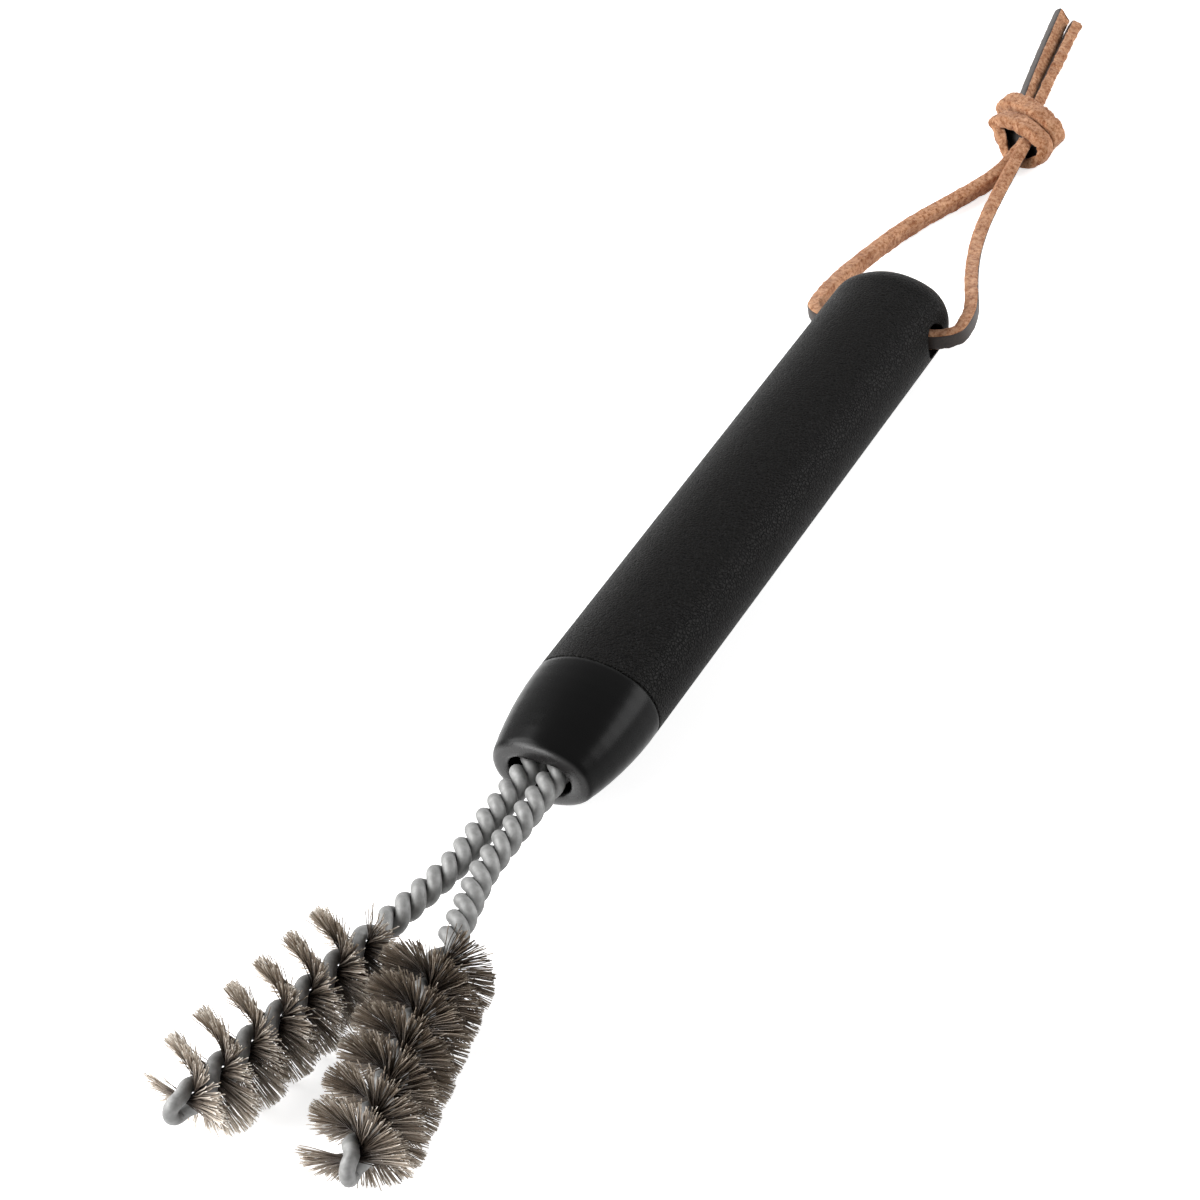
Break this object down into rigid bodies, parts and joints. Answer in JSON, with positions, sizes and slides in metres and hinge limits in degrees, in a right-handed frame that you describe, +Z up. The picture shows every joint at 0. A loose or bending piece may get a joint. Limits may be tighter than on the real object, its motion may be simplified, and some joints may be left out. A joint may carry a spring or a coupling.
{
  "type": "wire brush",
  "caption": "Hand wire brush: oval grip and nose collar, two twisted wire stems opening into a V with steel bristles between their strands, and a knotted hanging lace.",
  "frame": {"origin": "Middle of the brush without its lace, on the plane that the bristles rest on.", "axes": "+X along the handle's axis towards the brush head, +Y across the V, +Z up; metres."},
  "size_m": [0.4648, 0.0668, 0.026],
  "materials": {
    "grip": "fine leather-like moulded grain, satin",
    "core": "plain moulded",
    "collar": "gloss",
    "plug": "cast resin",
    "wire": "drawn galvanised wire",
    "bristles": "fine crimped steel wire",
    "lace": "raw suede with one grain face"
  },
  "bodies": {
    "brush": {"grip_sleeve": "grip", "handle_core": "core", "nose_collar": "collar", "wire_plug": "plug", "left_stem": "wire", "right_stem": "wire", "left_bristle_fan_1": "bristles", "left_bristle_fan_2": "bristles", "left_bristle_fan_3": "bristles", "left_bristle_fan_4": "bristles", "left_bristle_fan_5": "bristles", "left_bristle_fan_6": "bristles", "right_bristle_fan_1": "bristles", "right_bristle_fan_2": "bristles", "right_bristle_fan_3": "bristles", "right_bristle_fan_4": "bristles", "right_bristle_fan_5": "bristles", "right_bristle_fan_6": "bristles"},
    "lace": {"lace_left": "lace", "lace_right": "lace", "lace_knot": "lace"}
  },
  "joints": [
    {"name": "lace_swing", "type": "hinge", "parent": "brush", "child": "lace", "pos_m": [-0.1375, 0, 0.013], "axis": [0, 1, 0], "range_deg": [-90, 90]}
  ]
}
